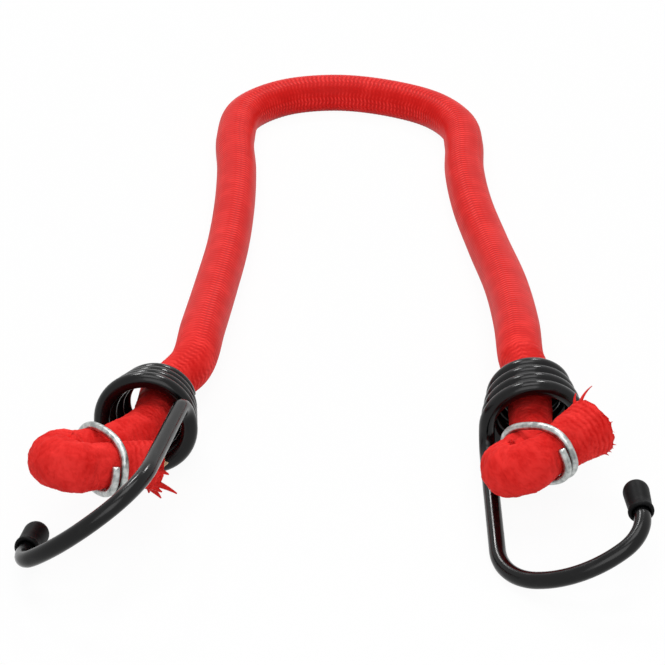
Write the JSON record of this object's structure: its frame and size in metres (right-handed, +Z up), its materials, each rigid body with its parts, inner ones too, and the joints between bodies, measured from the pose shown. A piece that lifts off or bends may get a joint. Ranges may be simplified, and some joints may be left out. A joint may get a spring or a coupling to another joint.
{
  "type": "bungee cord",
  "caption": "Elastic cord in a knitted sheath, folded back and crimped at each end, with a coated wire hook coiled round each end for strapping loads down.",
  "frame": {"origin": "on the cord's flat underside at the middle of the bend, on the floor that the cord lies on", "axes": "+X from the left hook to the right hook, +Y from the hooks towards the bend, +Z up"},
  "size_m": [0.1215, 0.2263, 0.0238],
  "materials": {
    "sheath": "ribbed knit, matt",
    "core": "natural latex, matt",
    "steel": "drawn wire",
    "coating": "dipped vinyl, soft gloss",
    "cap": "moulded vinyl, satin",
    "galvanised": "galvanised wire, dull"
  },
  "bodies": {
    "cord_bend": {"cord_bend_sheath": "sheath", "cord_bend_rubber_core": "core", "left_leg_sheath": "sheath", "left_leg_rubber_core": "core", "right_leg_sheath": "sheath", "right_leg_rubber_core": "core"},
    "left_end": {"left_end_sheath": "sheath", "left_end_rubber_core": "core", "left_crimp_ring": "galvanised"},
    "left_hook": {"left_hook_wire": "steel", "left_hook_coating": "coating", "left_tip_cap": "cap"},
    "right_end": {"right_end_sheath": "sheath", "right_end_rubber_core": "core", "right_crimp_ring": "galvanised"},
    "right_hook": {"right_hook_wire": "steel", "right_hook_coating": "coating", "right_tip_cap": "cap"}
  },
  "joints": [
    {"name": "left_stretch", "type": "slide", "parent": "cord_bend", "child": "left_end", "axis": [-0.1067, -0.9943, 0], "range_m": [0, 0.1], "stiffness_N_per_m": 1300, "deforming": ["left_leg_sheath", "left_leg_rubber_core"]},
    {"name": "left_swivel", "type": "hinge", "parent": "left_end", "child": "left_hook", "pos_m": [-0.039, -0.1756, 0.01098], "axis": [-0.1427, -0.9779, 0.153], "range_deg": [-10, 85]},
    {"name": "right_stretch", "type": "slide", "parent": "cord_bend", "child": "right_end", "axis": [0.0562, -0.9984, 0], "range_m": [0, 0.1], "stiffness_N_per_m": 1300, "deforming": ["right_leg_sheath", "right_leg_rubber_core"]},
    {"name": "right_swivel", "type": "hinge", "parent": "right_end", "child": "right_hook", "pos_m": [0.0402, -0.1749, 0.01045], "axis": [0.0121, -0.992, -0.1253], "range_deg": [0, 130]}
  ]
}
